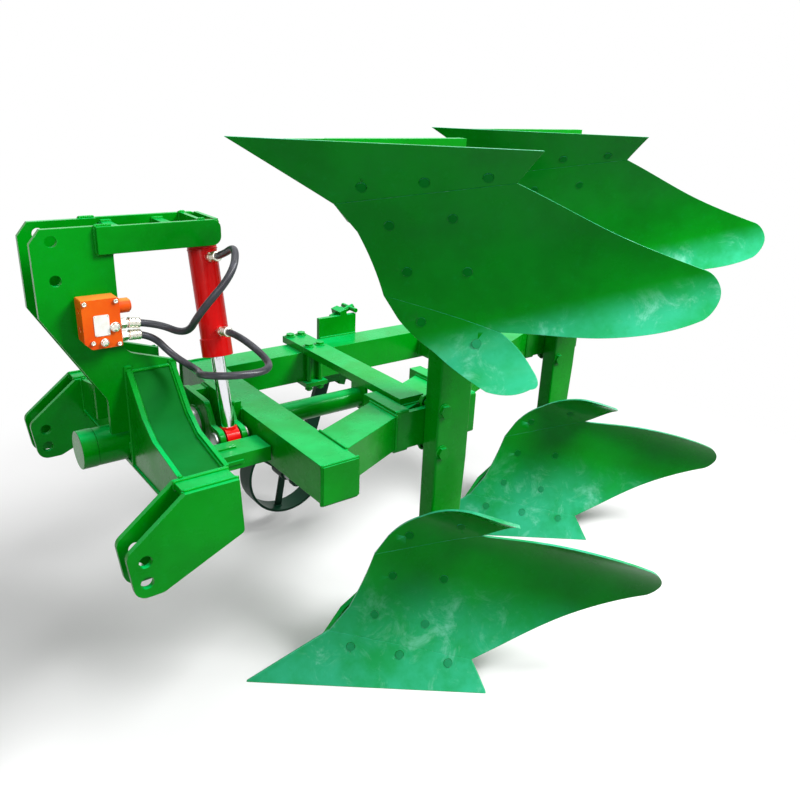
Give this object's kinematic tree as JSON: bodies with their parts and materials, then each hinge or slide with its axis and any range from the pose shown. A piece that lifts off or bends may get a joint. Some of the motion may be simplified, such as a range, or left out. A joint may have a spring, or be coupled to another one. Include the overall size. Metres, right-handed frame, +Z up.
{
  "type": "reversible plough",
  "caption": "Mounted reversible plough: headstock with turnover cylinder, turning beam frame, mirrored upper and lower mouldboard bodies and a swinging gauge wheel.",
  "frame": {"origin": "middle of the footprint of the whole plough, on the ground", "axes": "+X rearward, away from the tractor, +Y to the side of the gauge wheel, +Z up"},
  "size_m": [2.294, 1.3694, 1.5],
  "materials": {
    "green_paint": "gloss",
    "red_paint": "gloss",
    "orange_paint": "gloss",
    "dark_paint": "satin",
    "bare_steel": "satin",
    "plated_fittings": "bright",
    "chromed_rod": "polished",
    "bronze": "satin",
    "hose_rubber": "matt"
  },
  "bodies": {
    "headstock": {"mast_plates": "green_paint", "arm_plates": "green_paint", "arm_spacers": "green_paint", "wing_plates": "green_paint", "side_covers": "green_paint", "lower_cross_plate": "green_paint", "hitch_plates": "green_paint", "hitch_spacers": "green_paint", "bearing_tube": "green_paint", "bearing_bushes": "bronze", "arm_pin": "bare_steel", "valve_block": "orange_paint", "valve_fittings": "plated_fittings", "stop_brackets": "green_paint", "stop_screws": "green_paint", "upper_hose": "hose_rubber", "lower_hose": "hose_rubber"},
    "plough_frame": {"turnover_shaft": "bare_steel", "hub_cap": "green_paint", "thrust_ring": "bare_steel", "crank_plates": "green_paint", "crank_blocks": "green_paint", "crank_pin_ends": "bare_steel", "front_cross_beam": "green_paint", "main_beam": "green_paint", "far_beam": "green_paint", "beam_end_caps": "green_paint", "rear_tie_tube": "green_paint", "centre_tube": "green_paint", "rear_cross_bar": "green_paint", "far_clamp_plate": "green_paint", "frame_bolts": "green_paint", "standards": "green_paint", "standard_brackets": "green_paint", "wheel_bracket": "green_paint", "wheel_stop_screws": "green_paint", "wheel_pivot_pin": "bare_steel", "front_lower_share": "green_paint", "front_upper_share": "green_paint", "rear_lower_share": "green_paint", "rear_upper_share": "green_paint", "front_lower_mouldboard": "green_paint", "front_upper_mouldboard": "green_paint", "rear_lower_mouldboard": "green_paint", "rear_upper_mouldboard": "green_paint", "trash_boards": "green_paint", "frogs": "green_paint", "landsides": "green_paint", "plough_bolts": "green_paint"},
    "cylinder_barrel": {"cylinder_barrel": "red_paint", "cylinder_ports": "plated_fittings", "gland_nut": "red_paint"},
    "cylinder_rod": {"piston_rod": "chromed_rod", "piston": "bare_steel", "rod_eye": "red_paint", "rod_pin": "bare_steel"},
    "wheel_arm": {"wheel_arm": "dark_paint", "wheel_axle": "bare_steel"},
    "gauge_wheel": {"wheel_hub_and_spokes": "dark_paint", "wheel_rim": "dark_paint"}
  },
  "joints": [
    {"name": "flip", "type": "hinge", "parent": "headstock", "child": "plough_frame", "pos_m": [-1.05703, 0.15642, 0.75], "axis": [-1, 0, 0], "range_deg": [0, 180]},
    {"name": "cylinder_swing", "type": "hinge", "parent": "headstock", "child": "cylinder_barrel", "pos_m": [-0.74103, 0.15642, 1.27], "axis": [1, 0, 0], "range_deg": [0, 27.04], "deforming": ["upper_hose", "lower_hose"]},
    {"name": "rod_slide", "type": "slide", "parent": "cylinder_barrel", "child": "cylinder_rod", "axis": [0, 0.2337, 0.9723], "range_m": [0, 0.1398]},
    {"name": "wheel_arm_swing", "type": "hinge", "parent": "plough_frame", "child": "wheel_arm", "pos_m": [-0.10703, 0.53942, 0.75], "axis": [0, 1, 0], "range_deg": [0, 146.52]},
    {"name": "gauge_wheel_spin", "type": "hinge", "parent": "wheel_arm", "child": "gauge_wheel", "pos_m": [-0.25503, 0.63842, 0.258], "axis": [0, 1, 0], "continuous": true}
  ],
  "couplings": [
    {"joint": "cylinder_swing", "follows": "flip", "ratio": 0.15018}
  ]
}
